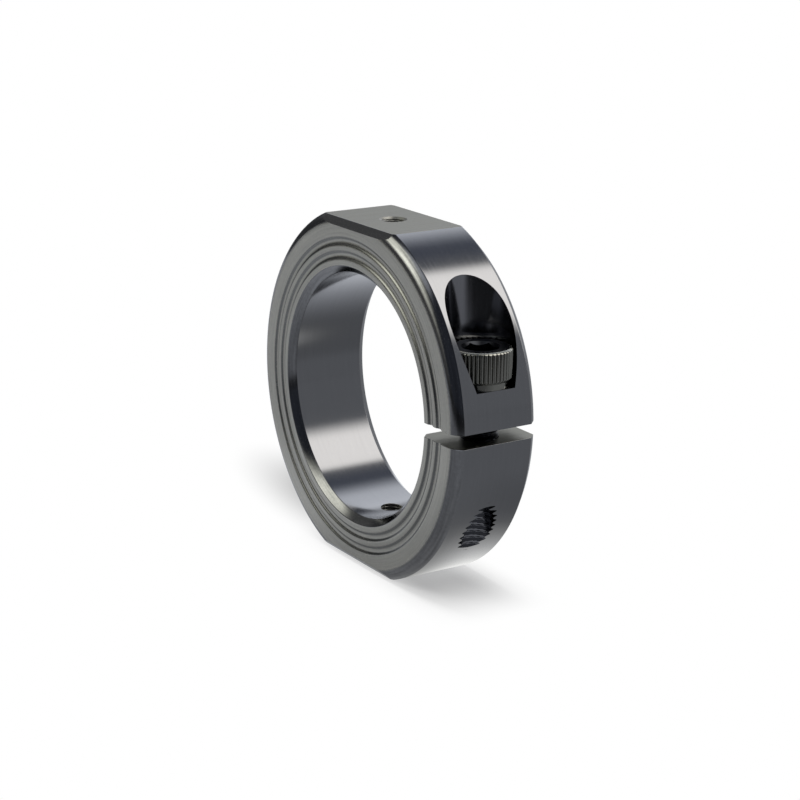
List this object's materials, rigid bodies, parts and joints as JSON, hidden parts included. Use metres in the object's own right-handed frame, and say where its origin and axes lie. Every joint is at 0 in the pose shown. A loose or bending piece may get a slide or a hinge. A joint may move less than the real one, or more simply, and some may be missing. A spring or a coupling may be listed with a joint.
{
  "type": "clamp shaft collar",
  "caption": "One-piece clamp shaft collar: a steel ring with a single slit, drawn shut on its shaft by a cap screw, with two milled flats that each carry a tapped hole.",
  "frame": {"origin": "on the shaft axis, at the middle of the ring's width", "axes": "+Y along the shaft axis away from the grooved face, +X from the shaft towards the slit, +Z towards the screw's head"},
  "size_m": [0.06, 0.015, 0.0562],
  "materials": {
    "ring_steel": "black oxide over turned steel, satin",
    "screw_steel": "black oxide over knurled steel, low sheen"
  },
  "bodies": {
    "collar": {"collar_ring": "ring_steel"},
    "screw": {"clamp_screw": "screw_steel"}
  },
  "joints": [
    {"name": "screw_turn", "type": "hinge", "parent": "collar", "child": "screw", "pos_m": [0.02489, 0, 0.007], "axis": [0, 0, 1], "range_deg": [0, 630]}
  ]
}
